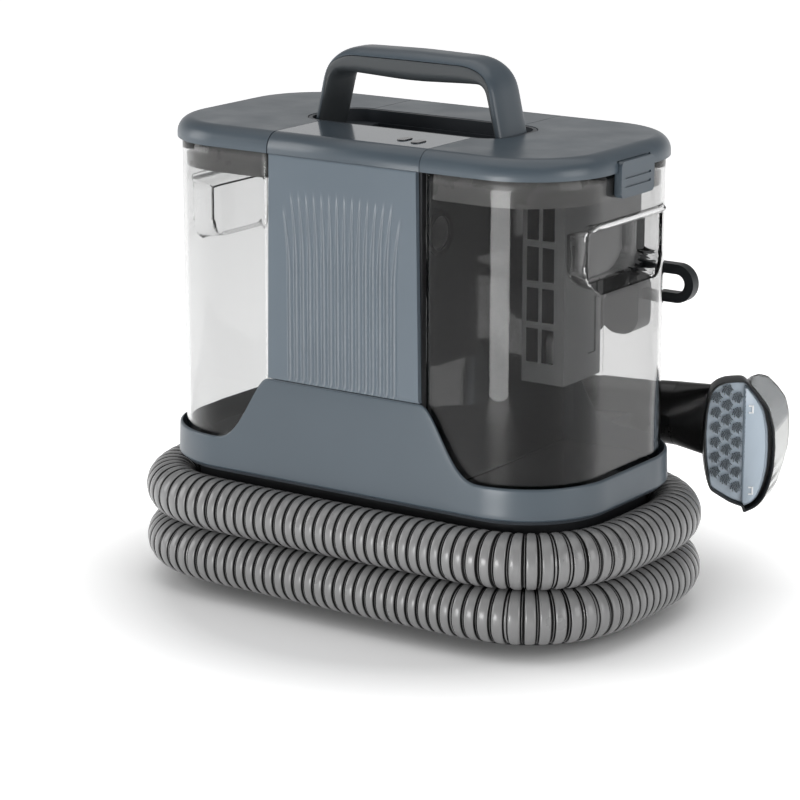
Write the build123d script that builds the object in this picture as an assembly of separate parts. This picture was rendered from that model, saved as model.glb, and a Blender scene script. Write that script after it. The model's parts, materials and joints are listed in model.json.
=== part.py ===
from build123d import *
import math
import os

# A compact spot and carpet cleaner: a centre housing between a clean-water tank (-X end) and a
# dirty-water tank (+X end), a carrying handle on top, and a suction hose wound twice round the base
# that ends in a hand tool stowed along the back. Millimetres, +Z up, front towards -Y, origin on the
# floor under the middle of the body.

# ---- Body plan: a rounded rectangle, long along X ----
HALF_X = 147.2
HALF_Y = 79.5
CORNER_R = 52.6
SEAM_X = 53.4            # half width of the centre housing
GAP = 0.5                # clearance between pieces that come apart
WALL = 2.4               # plastic wall thickness
SKIN = 3.0               # centre housing skin thickness

# ---- Heights ----
FOOT_H = 2.0
PLATE_TOP = 7.4          # top of the foot plate
BASE_Z = 78.4            # lower edge of the base shell
DECK_TOP = 82.4          # floor of the tank bays
RIM_Z = 97.6             # base rim round the ends
PANEL_Z = 139.0          # base apron top, lower edge of the front panel
LID_Z = 273.8            # lower edge of the lids
TOP_Z = 285.8            # top plane
TOP_EDGE_R = 9.5         # rounding of the top edge

# ---- Base and hose channel ----
PLATE_OUT = 0.8          # foot plate, beyond the body outline
PLATE_STEP = 17.0
CORE_OUT = -10.6         # hose channel wall, inside the body outline
BASE_OUT = 2.1           # base shell outside face
BAY_OUT = -0.4           # base shell inside face
APRON = [(64.4, 131.1), (74.3, 113.3), (85.6, 100.5)]
APRON_END_X = 97.0
FOOT_R = 10.0
FOOT_X = 100.0
FOOT_Y = 48.0
FOOT_PLACES = [(0, 0), (-FOOT_X, -FOOT_Y), (-FOOT_X, FOOT_Y), (FOOT_X, -FOOT_Y), (FOOT_X, FOOT_Y)]

# ---- Tanks and lids ----
TANK_OUT = -2.8
TANK_X = SEAM_X + 1.6
TANK_Z = DECK_TOP + GAP
TANK_TOP = LID_Z - 0.3
SHELF_X = 74.5
SHELF_Z = 263.5
POCKET_DEPTH = 16.0
POCKET_HALF = 40.0
POCKET_Z = (205.0, 243.0)
POCKET_R = 16.0
LIP_OUT = 3.4
LIP_H = 3.0
TILT_X = HALF_X + BAY_OUT
SKIRT_Z = 258.0
TAB_HALF = 18.0
TAB_Z = (259.0, 280.0)

# ---- Recess, handle and buttons ----
RECESS_X = 72.0
RECESS_Y = (-25.5, 28.5)
RECESS_R = 18.0
TRAY_END_Z = 276.0
TRAY_MID_Z = 262.0
TRAY_MID_X = 50.0
LEG_OUT = 68.6           # at the foot; the legs lean in towards the bar
LEG_IN = 62.2
SHOULDER_OUT = (57.3, 328.6)
SHOULDER_IN = (52.8, 313.8)
BAR_TOP = 329.7
BAR_UNDER = 311.4
HANDLE_Y = (-15.0, 15.0)
GRIP_T = 4.0
BUTTONS = {"power_button": (25.0, -52.0), "spray_button": (36.5, -55.0)}
BUTTON_X = 5.6
BUTTON_Y = 11.0
BUTTON_TRAVEL = 1.5

# ---- Hose ----
HOSE_D = 32.4
HOSE_OUT = 6.5           # centreline beyond the body outline
HOSE_LOW = 24.2
HOSE_HIGH = 57.0
CORNER_POINTS = 3        # route points at each corner of a turn
SIDE_BULGE = 1.2         # the long stretches bow out a little

HOSE_EXIT_X = 62.0       # mouth of the elbow on the back, facing +X
ELBOW_X = 26.0
LEAD_OUT = [(-156.5, 38.0, 57.6), (-146.5, 65.0, 60.5), (-127.0, 85.5, 65.0),
            (-103.5, 98.2, 74.5), (-83.0, 101.0, 87.0)]

# ---- Hand tool ----
TOOL_TAIL = (-26.0, 106.0, 98.0)
TOOL_YAW = 8.0           # degrees from +X towards +Y
CUFF = 14.0
HANDLE_R = 17.0
SPIGOT = (136.0, 152.0)
SPIGOT_R = 12.0
TRIGGER = (50.0, 82.0)
FACE_YAW = 34.8          # the brush face looks this far round from -Y towards +X
FACE_AT = (155.0, 122.0, 87.0)
FACE_OUTLINE = [(-19.5, -30), (-23.5, -8), (-23, 17), (-20, 31), (-12, 38), (1.5, 39.2), (11, 29.5),
                (18, 17), (20.6, 0), (19.5, -18), (16, -34), (10, -42), (1.8, -45), (-8, -39.5)]
HOOD_OUTLINE = [(4, -38), (4, 36), (11, 38.5), (17, 37), (25, 28), (30, 16), (31, 2), (29.5, -10), (25, -28),
                (19, -38)]
LIP_OUTLINE = [(1.5, -39), (1.5, 34), (9.2, 26), (15.4, 14.5), (17.8, 0), (16.8, -15.5), (13.6, -30),
               (8.4, -36.5)]
TUFT_R = 2.6
HEAD_DEPTH = 14.0
HOOD_DEPTH = 22.0

# ---- Inner parts ----
FAN_R = 44.0
FAN_Z = (116.0, 148.0)
MOTOR_R = 36.0
MOTOR_Z = (148.5, 205.0)
SHAFT_R = 3.0
SHAFT_FIT = 0.04
BEARING_R = 8.0
DUCT_X = 26.0
DUCT_Y = 60.0
DUCT_Z = 236.0
DUCT_R = 10.0
PORTS = (-DUCT_Y, DUCT_Y)
VALVE_X = 100.0
VALVE_R = 4.0
CAGE = ((86.0, 114.5), (-21.0, 22.0), (146.0, LID_Z - WALL))
CAGE_ROWS = 4
CAGE_INLET = ((22.0, 62.0), (205.0, LID_Z - WALL))   # y and z of the wider part at the top
FLOAT_R = 9.0
FLOAT_TRAVEL = 10.0

# ---- Rear holder ----
HOLDER_Y = HALF_Y + 1.0
CUP = ((77.0, 104.0), (HOLDER_Y, 104.0), (155.0, 204.0))
CUP_R = 12.0
HOOK_END_X = 139.0
HOOK_Z = (177.5, 201.0)
HOOK_BAND = 6.0


def plan(offset, z0, z1):
    """Slab with the body outline moved out by an offset."""
    outline = RectangleRounded(2 * (HALF_X + offset), 2 * (HALF_Y + offset), CORNER_R + offset)
    return extrude(Plane.XY.offset(z0) * outline, z1 - z0)


def block(x, y, z):
    """Box from its low and high bounds along each axis."""
    size = [high - low for low, high in (x, y, z)]
    middle = [(high + low) / 2 for low, high in (x, y, z)]
    return Pos(*middle) * Box(*size)


def rod(radius, x, y, z0, z1):
    """Upright cylinder."""
    return Pos(x, y, (z0 + z1) / 2) * Cylinder(radius, z1 - z0)


def ring(outer, inner, x, y, z0, z1):
    """Upright tube."""
    return rod(outer, x, y, z0, z1) - rod(inner, x, y, z0 - 1, z1 + 1)


def recess_plan(offset, z0, z1):
    """Slab with the outline of the hand recess moved out by an offset."""
    width = 2 * (RECESS_X + offset)
    depth = RECESS_Y[1] - RECESS_Y[0] + 2 * offset
    middle_y = (RECESS_Y[0] + RECESS_Y[1]) / 2
    outline = RectangleRounded(width, depth, RECESS_R + offset)
    return extrude(Plane.XY.offset(z0) * Pos(0, middle_y) * outline, z1 - z0)


def end_slab(offset, inner_x, z0, z1, radius=4.0):
    """The +X end of the body outline, from a flat inner side, with its inner corners rounded."""
    keep = block((inner_x, HALF_X + 20), (-HALF_Y - 20, HALF_Y + 20), (z0 - 1, z1 + 1))
    slab = plan(offset, z0, z1) & keep
    corners = slab.edges().filter_by(Axis.Z).group_by(Axis.X)[0]
    return fillet(corners, radius)


# ---- Base ----
def base_plate():
    """Foot plate under the hose, stepped in below, with a recess for each foot pad."""
    step = PLATE_TOP - 2.4
    plate = plan(PLATE_OUT, step, PLATE_TOP) + plan(PLATE_OUT - PLATE_STEP, FOOT_H - 1, step)
    for x, y in FOOT_PLACES:
        plate -= rod(FOOT_R, x, y, 0, FOOT_H)
    return plate


def feet():
    """Rubber foot pads."""
    return [rod(FOOT_R - 0.1, x, y, 0, FOOT_H) for x, y in FOOT_PLACES]


def hose_core():
    """Wall behind the hose: the machine rests on it and the hose winds round it."""
    wall = plan(CORE_OUT, PLATE_TOP, BASE_Z) - plan(CORE_OUT - SKIN, PLATE_TOP - 1, BASE_Z + 1)
    inlet = Pos(ELBOW_X, HALF_Y + CORE_OUT, HOSE_LOW) * Rot(90, 0, 0) * Cylinder(DUCT_R, 12)
    return wall - inlet


def apron_cut():
    """Space above the rim at the +X end: it sweeps down from the apron to the rim."""
    start = (SEAM_X + 1.0, PANEL_Z + 0.3)
    end = (APRON_END_X, RIM_Z)
    curve = Spline(start, *APRON, end, tangents=[(1, -0.35), (1, 0)])
    far = HALF_X + 20
    sides = Polyline(end, (far, RIM_Z), (far, PANEL_Z + 20), (start[0], PANEL_Z + 20), start)
    face = make_face(Plane.XZ * (curve + sides))
    return extrude(face, HALF_Y + 20, both=True)


def base_shell():
    """Base housing: the deck, the rim that holds both tanks, and the apron front and back."""
    shell = plan(BASE_OUT, BASE_Z, PANEL_Z)
    shell = fillet(shell.edges().group_by(Axis.Z)[0], 1.5)
    shell -= plan(BAY_OUT, DECK_TOP, PANEL_Z + 1)
    shell -= block((-38, 38), (-73, 73), (BASE_Z - 1, DECK_TOP + 1))
    shell -= mirror(rod(2.1, VALVE_X, 0, BASE_Z - 1, DECK_TOP + 1), Plane.YZ)
    cut = apron_cut()
    return shell - cut - mirror(cut, Plane.YZ)


# ---- Centre housing ----
def skin_profile():
    """Rear skin of the centre housing, curving over into the top."""
    y0 = HALF_Y
    outer_arc = CenterArc((y0 - TOP_EDGE_R, TOP_Z - TOP_EDGE_R), TOP_EDGE_R, 0, 90)
    inner_arc = CenterArc((y0 - TOP_EDGE_R, TOP_Z - TOP_EDGE_R), TOP_EDGE_R - SKIN, 0, 90)
    outer_side = Line((y0, PANEL_Z + 0.2), outer_arc @ 0)
    inner_side = Line(inner_arc @ 0, (y0 - SKIN, PANEL_Z + 0.2))
    cap = Line(outer_arc @ 1, inner_arc @ 1)
    foot = Line(inner_side @ 1, outer_side @ 0)
    face = make_face(Plane.YZ * (outer_side + outer_arc + cap + inner_arc + inner_side + foot))
    skin = extrude(face, SEAM_X, both=True)
    return skin


def front_panel():
    """Front skin with its upright pleats as shallow ribs."""
    panel = mirror(skin_profile(), Plane.XZ)
    for index in range(15):
        x = -35.6 + index * 5.28
        top = 252.0 - 3.5 * abs(index - 7) / 7
        panel += block((x - 0.7, x + 0.7), (-HALF_Y - 0.8, -HALF_Y + 1), (PANEL_Z + 4, top))
    return panel


def rear_cover():
    """Rear skin with the exhaust slots and the hole for the mains inlet."""
    cover = skin_profile()
    for index in range(9):
        z = 196.0 + index * 6.0
        cover -= block((-30, 30), (HALF_Y - SKIN - 1, HALF_Y + 1), (z, z + 2.5))
    inlet = Pos(-34, HALF_Y, 152) * Rot(90, 0, 0) * Cylinder(6.0, 20)
    return cover - inlet


def mains_inlet():
    """Grommet where the mains lead enters."""
    body = Pos(-34, HALF_Y - 1, 152) * Rot(90, 0, 0) * Cylinder(5.9, 8)
    flange = Pos(-34, HALF_Y + 1, 152) * Rot(90, 0, 0) * Cylinder(9.0, 1.9)
    bore = Pos(-34, HALF_Y, 152) * Rot(90, 0, 0) * Cylinder(3.6, 30)
    return body + flange - bore


def side_wall(ports):
    """Upright wall between the motor bay and the +X tank bay, with its air and water ports."""
    inside = plan(-SKIN - 0.3, DECK_TOP, TOP_Z - SKIN - 0.3)
    inside = fillet(inside.edges().group_by(Axis.Z)[-1], TOP_EDGE_R - SKIN)
    wall = inside & block((SEAM_X - WALL, SEAM_X), (-HALF_Y, HALF_Y), (DECK_TOP, TOP_Z))
    under_tray = recess_plan(GAP, TRAY_END_Z - GAP, TOP_Z)
    wall -= under_tray
    for y in ports:
        wall -= Pos(SEAM_X, y, DUCT_Z) * Rot(0, 90, 0) * Cylinder(DUCT_R + 0.2, 12)
    return wall


def port_seals():
    """Rubber rings between the side wall and the dirty tank."""
    seal = Cylinder(DUCT_R + 3, TANK_X - SEAM_X - 0.1) - Cylinder(DUCT_R, 10)
    return [Pos((SEAM_X + TANK_X - 0.1) / 2, y, DUCT_Z) * Rot(0, 90, 0) * seal for y in PORTS]


def top_strip(y_low, y_high):
    """Flat cover strip between a skin and the hand recess."""
    strip = block((-SEAM_X, SEAM_X), (y_low, y_high), (TOP_Z - SKIN, TOP_Z))
    return strip - recess_plan(0.2, TOP_Z - SKIN - 1, TOP_Z + 1)


def button_slot(centre, clearance, z0, z1):
    """Oblong upright slot or button body."""
    outline = SlotOverall(BUTTON_Y + 2 * clearance, BUTTON_X + 2 * clearance, rotation=90)
    return extrude(Plane.XY.offset(z0) * Pos(*centre) * outline, z1 - z0)


def control_panel():
    """Glossy strip in front of the recess, open for the two buttons."""
    panel = top_strip(-HALF_Y + TOP_EDGE_R + 0.1, RECESS_Y[0])
    for centre in BUTTONS.values():
        panel -= button_slot(centre, 0.3, TOP_Z - SKIN - 1, TOP_Z + 1)
    return panel


def button(centre):
    """Push button with a flange under the control panel and a stem to its switch."""
    cap = button_slot(centre, 0, TOP_Z - SKIN - 2, TOP_Z + 0.6)
    flange = button_slot(centre, 1.6, TOP_Z - SKIN - 4, TOP_Z - SKIN - 2 - 0.01)
    stem = rod(1.6, centre[0], centre[1], TOP_Z - SKIN - 8, TOP_Z - SKIN - 3)
    return cap + flange + block(*((c - 2, c + 2) for c in centre), (TOP_Z - 6, TOP_Z - 4)) + stem


def recess_tray():
    """Tray under the handle: deep in the middle for fingers, shallow at its ends over the tanks."""
    tray = recess_plan(0, TRAY_END_Z, TOP_Z - 0.2)
    inner_y = (RECESS_Y[0] + 4, RECESS_Y[1] - 4)
    tray += block((-TRAY_MID_X, TRAY_MID_X), RECESS_Y, (TRAY_MID_Z, TRAY_END_Z + 1))
    tray -= recess_plan(-WALL, TRAY_END_Z + 2, TOP_Z + 1)
    tray -= block((-TRAY_MID_X + 3, TRAY_MID_X - 3), inner_y, (TRAY_MID_Z + 2, TOP_Z))
    return tray - arch(0)


def arch(lining):
    """Handle arch down to its inner line, less the given thickness of lining."""
    foot = TRAY_END_Z + 2
    out_x, out_z = SHOULDER_OUT
    in_x, in_z = SHOULDER_IN[0] + lining, SHOULDER_IN[1] + lining
    leg_in = LEG_IN + lining
    outer = FilletPolyline((-LEG_OUT, foot), (-out_x, out_z), (0, BAR_TOP), (out_x, out_z), (LEG_OUT, foot),
                           radius=[26, 500, 26])
    inner = FilletPolyline((leg_in, foot), (in_x, in_z), (0, BAR_UNDER + lining), (-in_x, in_z),
                           (-leg_in, foot), radius=[8, 300, 8])
    ends = Line(outer @ 1, inner @ 0) + Line(inner @ 1, outer @ 0)
    face = make_face(Plane.XZ * (outer + inner + ends))
    return extrude(face, HANDLE_Y[1], both=True)


def handle_shell():
    """Outer shell of the handle."""
    return arch(GRIP_T)


def handle_grip():
    """Darker lining on the inside of the handle."""
    return arch(0) - arch(GRIP_T)


# ---- Tanks and lids, drawn at the +X end ----
def shelf_block(grow, low):
    """Step in a tank's top corner that lets it pass under the end of the tray."""
    y = (RECESS_Y[0] - 2 - grow, RECESS_Y[1] + 2 + grow)
    return block((SEAM_X - 5, SHELF_X + grow), y, (low, TANK_TOP + 5))


def pocket(grow):
    """Finger pocket in a tank's end, with round lower corners."""
    x0 = HALF_X + TANK_OUT - POCKET_DEPTH - grow
    half = POCKET_HALF + grow
    solid = block((x0, HALF_X + 10), (-half, half), (POCKET_Z[0] - grow, POCKET_Z[1] + grow))
    return fillet(solid.edges().filter_by(Axis.X).group_by(Axis.Z)[0], POCKET_R + grow)


def tank_shell(ports):
    """Open-topped tank with a finger pocket and its lip; ports are holes in the inner side."""
    outer = end_slab(TANK_OUT, TANK_X, TANK_Z, TANK_TOP) - shelf_block(0, SHELF_Z) - pocket(0)
    inner = end_slab(TANK_OUT - WALL, TANK_X + WALL, TANK_Z + WALL, TANK_TOP + 5)
    tank = outer - (inner - shelf_block(WALL, SHELF_Z - WALL) - pocket(WALL))
    wall_x = HALF_X + TANK_OUT
    lip_y = (2 - POCKET_HALF, POCKET_HALF - 2)
    tank += block((wall_x - WALL, wall_x + LIP_OUT), lip_y, (POCKET_Z[1], POCKET_Z[1] + LIP_H))
    for y in ports:
        tank -= Pos(TANK_X, y, DUCT_Z) * Rot(0, 90, 0) * Cylinder(DUCT_R, 12)
    return tank


def lid_body():
    """Whole top slab of the body with its rounded edge."""
    slab = plan(0, LID_Z, TOP_Z)
    return fillet(slab.edges().group_by(Axis.Z)[-1], TOP_EDGE_R)


def tab_block():
    """Latch tab on the end of a lid."""
    tab = block((HALF_X + TANK_OUT + 0.4, HALF_X + 2.4), (-TAB_HALF, TAB_HALF), TAB_Z)
    return fillet(tab.edges().filter_by(Axis.X), 3.0)


def tank_lid():
    """Lid with a notch round the end of the hand recess and a slot for its latch tab."""
    inner_x = SEAM_X + GAP
    keep = block((inner_x, HALF_X + 5), (-HALF_Y - 5, HALF_Y + 5), (LID_Z - 5, TOP_Z + 5))
    lid = (lid_body() & keep) - recess_plan(GAP, LID_Z - 1, TOP_Z + 1)
    hollow = plan(-SKIN, LID_Z - 5, TOP_Z - SKIN)
    hollow = fillet(hollow.edges().group_by(Axis.Z)[-1], TOP_EDGE_R - SKIN)
    hollow &= block((inner_x + WALL, HALF_X), (-HALF_Y, HALF_Y), (LID_Z - 5, TOP_Z))
    lid -= hollow - recess_plan(GAP + WALL, LID_Z - 6, TOP_Z)
    slot = block((HALF_X - 2, HALF_X + 5), (-TAB_HALF - 0.4, TAB_HALF + 0.4), (LID_Z - 1, TAB_Z[1] + 0.4))
    return lid - slot


def lid_pan():
    """Closing pan under a lid; its skirt reaches down inside the tank's mouth, round the shelf."""
    clear = 0.4
    low = SKIRT_Z - 2
    outer_x = TANK_X + WALL + clear
    outer = end_slab(TANK_OUT - WALL - clear, outer_x, SKIRT_Z, LID_Z) - shelf_block(WALL + clear, low)
    inner = end_slab(TANK_OUT - 2 * WALL - clear, outer_x + WALL, SKIRT_Z - 1, LID_Z - WALL)
    return outer - (inner - shelf_block(2 * WALL + clear, low))


def latch_tab():
    """Latch tab with two grip lines across it."""
    tab = tab_block()
    for z in (265.0, 270.0):
        tab -= block((HALF_X + 1.7, HALF_X + 5), (4 - TAB_HALF, TAB_HALF - 4), (z, z + 1.4))
    slot_roof = block((HALF_X - 10, HALF_X - 1.6), (-HALF_Y, HALF_Y), (LID_Z - 1, TOP_Z))
    return tab - slot_roof


def separator_cage():
    """Hollow column under the dirty lid that turns water out of the air, wider at the top."""
    x, y, z = CAGE
    inlet_y, inlet_z = CAGE_INLET
    cage = block(*CAGE) + block(x, (inlet_y[0] - 2, inlet_y[1]), inlet_z)
    cage -= block((x[0] + 2, x[1] - 2), (y[0] + 2, y[1] - 2), (z[0] - 1, z[1] - 2))
    cage -= block((x[0] + 2, x[1] - 2), (y[1] - 3, inlet_y[1] - 2), (inlet_z[0] + 2, z[1] - 2))
    cage -= block((x[1] - 1.2, x[1] + 1), (y[1] - 8.5, y[1] - 6.0), (z[0] + 14, inlet_z[0]))
    cage -= block((x[1] - 1.2, x[1] + 1), (y[1] - 15, y[1] - 6.0), (z[0] + 14, z[0] + 17))
    for row in range(CAGE_ROWS):
        low = 158.0 + row * 24.0
        for side in (x[0] + 3, x[0] + 13.5):
            cage -= block((side, side + 8.0), (y[0] - 1, y[0] + 3), (low, low + 20.0))
    return cage


def float_ball():
    """Float that shuts the air path when the tank is full."""
    x = (CAGE[0][0] + CAGE[0][1]) / 2
    body = rod(FLOAT_R, x, 0, 148.5, 170.5)
    return fillet(body.edges().filter_by(GeomType.CIRCLE), 2.5)


def float_stop():
    """Cross bar that keeps the float in the cage."""
    x, y, z = CAGE
    return block((x[0] + 2, x[1] - 2), (-4, 4), (z[0], z[0] + 2.4))


def valve_bore():
    """Hole through the clean tank's floor for its outlet valve."""
    return rod(VALVE_R + 0.06, VALVE_X, 0, TANK_Z - 1, TANK_Z + 12)


def clean_tank_shell():
    """Clean-water tank with the boss of its outlet valve."""
    boss = rod(VALVE_R + 4, VALVE_X, 0, TANK_Z + 1, TANK_Z + 8)
    return mirror(tank_shell([]) + boss - valve_bore(), Plane.YZ)


def clean_valve():
    """Outlet valve plunger: the pin in the deck pushes it up."""
    stem = rod(VALVE_R, VALVE_X, 0, TANK_Z + 1, TANK_Z + 9)
    return mirror(stem + rod(VALVE_R + 3, VALVE_X, 0, TANK_Z + 8.1, TANK_Z + 11), Plane.YZ)


def valve_pin():
    """Water coupling in the deck under the clean tank's valve."""
    pin = rod(2.0, VALVE_X, 0, BASE_Z - 1, TANK_Z + 0.8)
    return mirror(pin + rod(6.0, VALVE_X, 0, BASE_Z - 8, BASE_Z), Plane.YZ)


# ---- Fan, motor, pump ----
def fan_housing():
    """Drum round the impeller, open to the air duct below and the shaft above."""
    drum = rod(FAN_R, 0, 0, *FAN_Z) - rod(FAN_R - WALL, 0, 0, FAN_Z[0] + WALL, FAN_Z[1] - WALL)
    outlet = block((-14, 14), (FAN_R - 8, FAN_R + 4), (FAN_Z[0] + 6, FAN_Z[1] - 6))
    return drum - rod(14.0, 0, 0, FAN_Z[0] - 1, FAN_Z[0] + 4) - rod(9.0, 0, 0, 140, 150) - outlet


def impeller():
    """Suction fan wheel with curved-back vanes shown as straight blades."""
    wheel = rod(38.0, 0, 0, 138.0, 140.5) + rod(9.0, 0, 0, 122.0, 138.5)
    for index in range(9):
        blade = Pos(22, 0, 131) * Rot(0, 0, 25) * Box(26, 1.6, 15)
        wheel += Rot(0, 0, index * 40) * blade
    return wheel - rod(SHAFT_R, 0, 0, 120, 142)


def fan_shaft():
    """Motor shaft that carries the impeller."""
    return rod(SHAFT_R, 0, 0, 121.0, MOTOR_Z[1] + 6)


def motor_body():
    """Fan motor."""
    can = rod(MOTOR_R, 0, 0, *MOTOR_Z)
    can = fillet(can.edges().group_by(Axis.Z)[-1], 4.0)
    return can - rod(BEARING_R, 0, 0, MOTOR_Z[0] - 1, MOTOR_Z[1] + 1)


def motor_bearings():
    """A bearing at each end of the motor."""
    inner = SHAFT_R + SHAFT_FIT
    return [ring(BEARING_R, inner, 0, 0, z, z + 7) for z in (MOTOR_Z[0] + 1, MOTOR_Z[1] - 8)]


def motor_bracket():
    """Plate on four posts that carries the fan and motor."""
    plate = block((-50, 50), (-75.5, 75.5), (108, 112)) - rod(15.0, 0, 0, 107, 113)
    for y in (-DUCT_Y, DUCT_Y):
        plate -= rod(DUCT_R + 2, DUCT_X, y, 107, 113)
    for x in (-44, 44):
        for y in (-40, 40):
            plate += rod(4.5, x, y, DECK_TOP, 108.5)
    return plate


def motor_mount():
    """Rubber ring between the bracket and the fan housing."""
    return ring(40.0, 20.0, 0, 0, 112.0, FAN_Z[0])


def tube(points, radius, bend, wall=1.5):
    """Hollow tube along straight runs joined by equal bends."""
    path = FilletPolyline(*points, radius=bend)
    start = Plane(origin=path @ 0, z_dir=path % 0)
    return sweep(start * (Circle(radius) - Circle(radius - wall)), path)


def suction_duct():
    """Duct from the hose elbow up to the dirty tank."""
    rear_y = HALF_Y + CORE_OUT - SKIN
    turn_y = rear_y - 18
    points = [(DUCT_X, rear_y, HOSE_LOW), (DUCT_X, turn_y, HOSE_LOW), (DUCT_X, turn_y, 62),
              (DUCT_X, DUCT_Y, 96), (DUCT_X, DUCT_Y, DUCT_Z), (SEAM_X - 0.2, DUCT_Y, DUCT_Z)]
    return tube(points, DUCT_R, [12, 20, 20, 14])


def air_duct():
    """Duct from the dirty tank down to the fan."""
    points = [(SEAM_X - 0.2, -DUCT_Y, DUCT_Z), (DUCT_X, -DUCT_Y, DUCT_Z), (DUCT_X, -DUCT_Y, 96),
              (0, 0, 96), (0, 0, 108)]
    return tube(points, DUCT_R, [14, 12, 11])


def pump():
    """Water pump on the foot plate."""
    body = block((-96, -56), (-18, 18), (PLATE_TOP, 38)) + Pos(-40, 0, 24) * Rot(0, 90, 0) * Cylinder(12, 36)
    return fillet(body.edges().filter_by(Axis.Z), 3.0)


def water_tube():
    """Feed tube from the valve coupling to the pump."""
    points = [(-VALVE_X, 0, BASE_Z - 8), (-VALVE_X, 0, 52), (-76, 0, 52), (-76, 0, 38)]
    return tube(points, 3.0, [7, 7], 1.0)


def control_board():
    """Circuit board on four posts."""
    board = block((60, 120), (-32, 32), (18, 19.6))
    for x in (66, 114):
        for y in (-26, 26):
            board += rod(3.0, x, y, PLATE_TOP, 18.5)
    return board


def switch_block():
    """Switches under the two buttons, on a bar between the side walls."""
    bar = block((-SEAM_X + WALL + 0.1, SEAM_X - WALL - 0.1), (-64, -44), (266, 269))
    for centre in BUTTONS.values():
        bar += rod(3.5, centre[0], centre[1], 268.5, TOP_Z - SKIN - 8 - BUTTON_TRAVEL - 0.3)
    return bar


# ---- Rear holder and hose inlet ----
def holder_arm():
    """Arm on the rear cover that carries the cup and the hook."""
    return block((30, CUP[0][0]), (HALF_Y, HALF_Y + 4), (178, 200))


def holder_cup():
    """Open cup for small accessories behind the dirty tank."""
    x, y, z = CUP
    cup = block(*CUP)
    cup = fillet(cup.edges().filter_by(Axis.Y).group_by(Axis.Z)[0], CUP_R)
    hollow = block((x[0] + WALL, x[1] - WALL), (y[0] + WALL, y[1] - WALL), (z[0] + WALL, z[1] + 5))
    return cup - fillet(hollow.edges().filter_by(Axis.Y).group_by(Axis.Z)[0], CUP_R - WALL)


def hook_loop():
    """Elongated loop that a strap or the mains lead hangs from."""
    height = HOOK_Z[1] - HOOK_Z[0]
    length = HOOK_END_X - CUP[0][1] + height / 2
    middle = (HOOK_END_X - length / 2, (HOOK_Z[0] + HOOK_Z[1]) / 2)
    face = SlotOverall(length, height) - SlotOverall(length - 2 * HOOK_BAND, height - 2 * HOOK_BAND)
    loop = extrude(Plane.XZ.offset(-92) * Pos(*middle) * face, 7.0)
    return loop - block(*(CUP[0], CUP[1], CUP[2]))


def hose_elbow():
    """Elbow where the hose joins the base at the back."""
    y = HALF_Y + HOSE_OUT
    mouth = Pos((ELBOW_X - 14 + HOSE_EXIT_X) / 2, y, HOSE_LOW) * Rot(0, 90, 0)
    barrel = mouth * Cylinder(15.2, HOSE_EXIT_X - ELBOW_X + 14)
    barrel = fillet(barrel.edges().group_by(Axis.X)[0], 8.0)
    core_y = HALF_Y + CORE_OUT
    spigot = Pos(ELBOW_X, (y + core_y) / 2, HOSE_LOW) * Rot(90, 0, 0) * Cylinder(13.0, y - core_y)
    return barrel + spigot


def tool_cradle():
    """Saddle on the back of the base that the hand tool lies in."""
    saddle = block((70, 86), (HALF_Y + BASE_OUT, 140), (75, 100))
    return saddle - tool_rod(HANDLE_R + 1.9, 60, 150)


# ---- Hand tool ----
def tool_plane(distance):
    """Plane across the tool's axis, at a distance from its tail."""
    yaw = math.radians(TOOL_YAW)
    along = Vector(math.cos(yaw), math.sin(yaw), 0)
    return Plane(origin=Vector(*TOOL_TAIL) + along * distance, x_dir=(-along.Y, along.X, 0), z_dir=along)


def tool_rod(radius, start, end):
    """Cylinder along the tool's axis."""
    return extrude(tool_plane(start) * Circle(radius), end - start)


def tool_block(along, across, up):
    """Box in the tool's own directions."""
    plane = tool_plane(along[0])
    face = Pos(sum(across) / 2, sum(up) / 2) * Rectangle(across[1] - across[0], up[1] - up[0])
    return extrude(plane * face, along[1] - along[0])


def gun_body():
    """Hand grip of the tool: a barrel with a spigot for the brush head and a slot for the trigger."""
    widths = [(0, 17, 17), (40, 17, 18), (90, 16.6, 18.5), (SPIGOT[0], 17, 20)]
    sections = [tool_plane(d) * Ellipse(w, h) for d, w, h in widths]
    body = loft(sections) + tool_rod(SPIGOT_R, SPIGOT[0] - 2, SPIGOT[1])
    body -= tool_rod(SPIGOT_R - 2, -1, SPIGOT[1] + 1)
    slot = (TRIGGER[0] - 1, TRIGGER[1] + 1)
    return body - tool_block(slot, (-5.5, 5.5), (-30, -12.3))


def gun_trigger():
    """Spray trigger under the grip."""
    lever = tool_block(TRIGGER, (-5, 5), (-24, -16.4))
    return fillet(lever.edges().group_by(Axis.Z)[0].filter_by(GeomType.LINE), 1.5)


def gun_cuff():
    """Cuff that holds the hose in the tool's tail."""
    return tool_rod(19.0, -CUFF, 0)


def face_slab(points, low, high):
    """Slab parallel to the brush face, from one depth to another along its outward normal."""
    yaw = math.radians(FACE_YAW)
    plane = Plane(origin=FACE_AT, x_dir=(math.cos(yaw), math.sin(yaw), 0),
                  z_dir=(math.sin(yaw), -math.cos(yaw), 0))
    face = make_face(plane.offset(low) * Polyline(*points, close=True))
    return extrude(face, high - low, dir=plane.z_dir)


def shrink(points, factor):
    """Outline scaled about the middle of the brush face."""
    return [(u * factor, v * factor) for u, v in points]


def head_frame():
    """Dark rim of the brush head."""
    opening = face_slab(shrink(FACE_OUTLINE, 0.93), -HEAD_DEPTH + 3, 1)
    return face_slab(FACE_OUTLINE, -HEAD_DEPTH, 0) - opening


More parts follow.
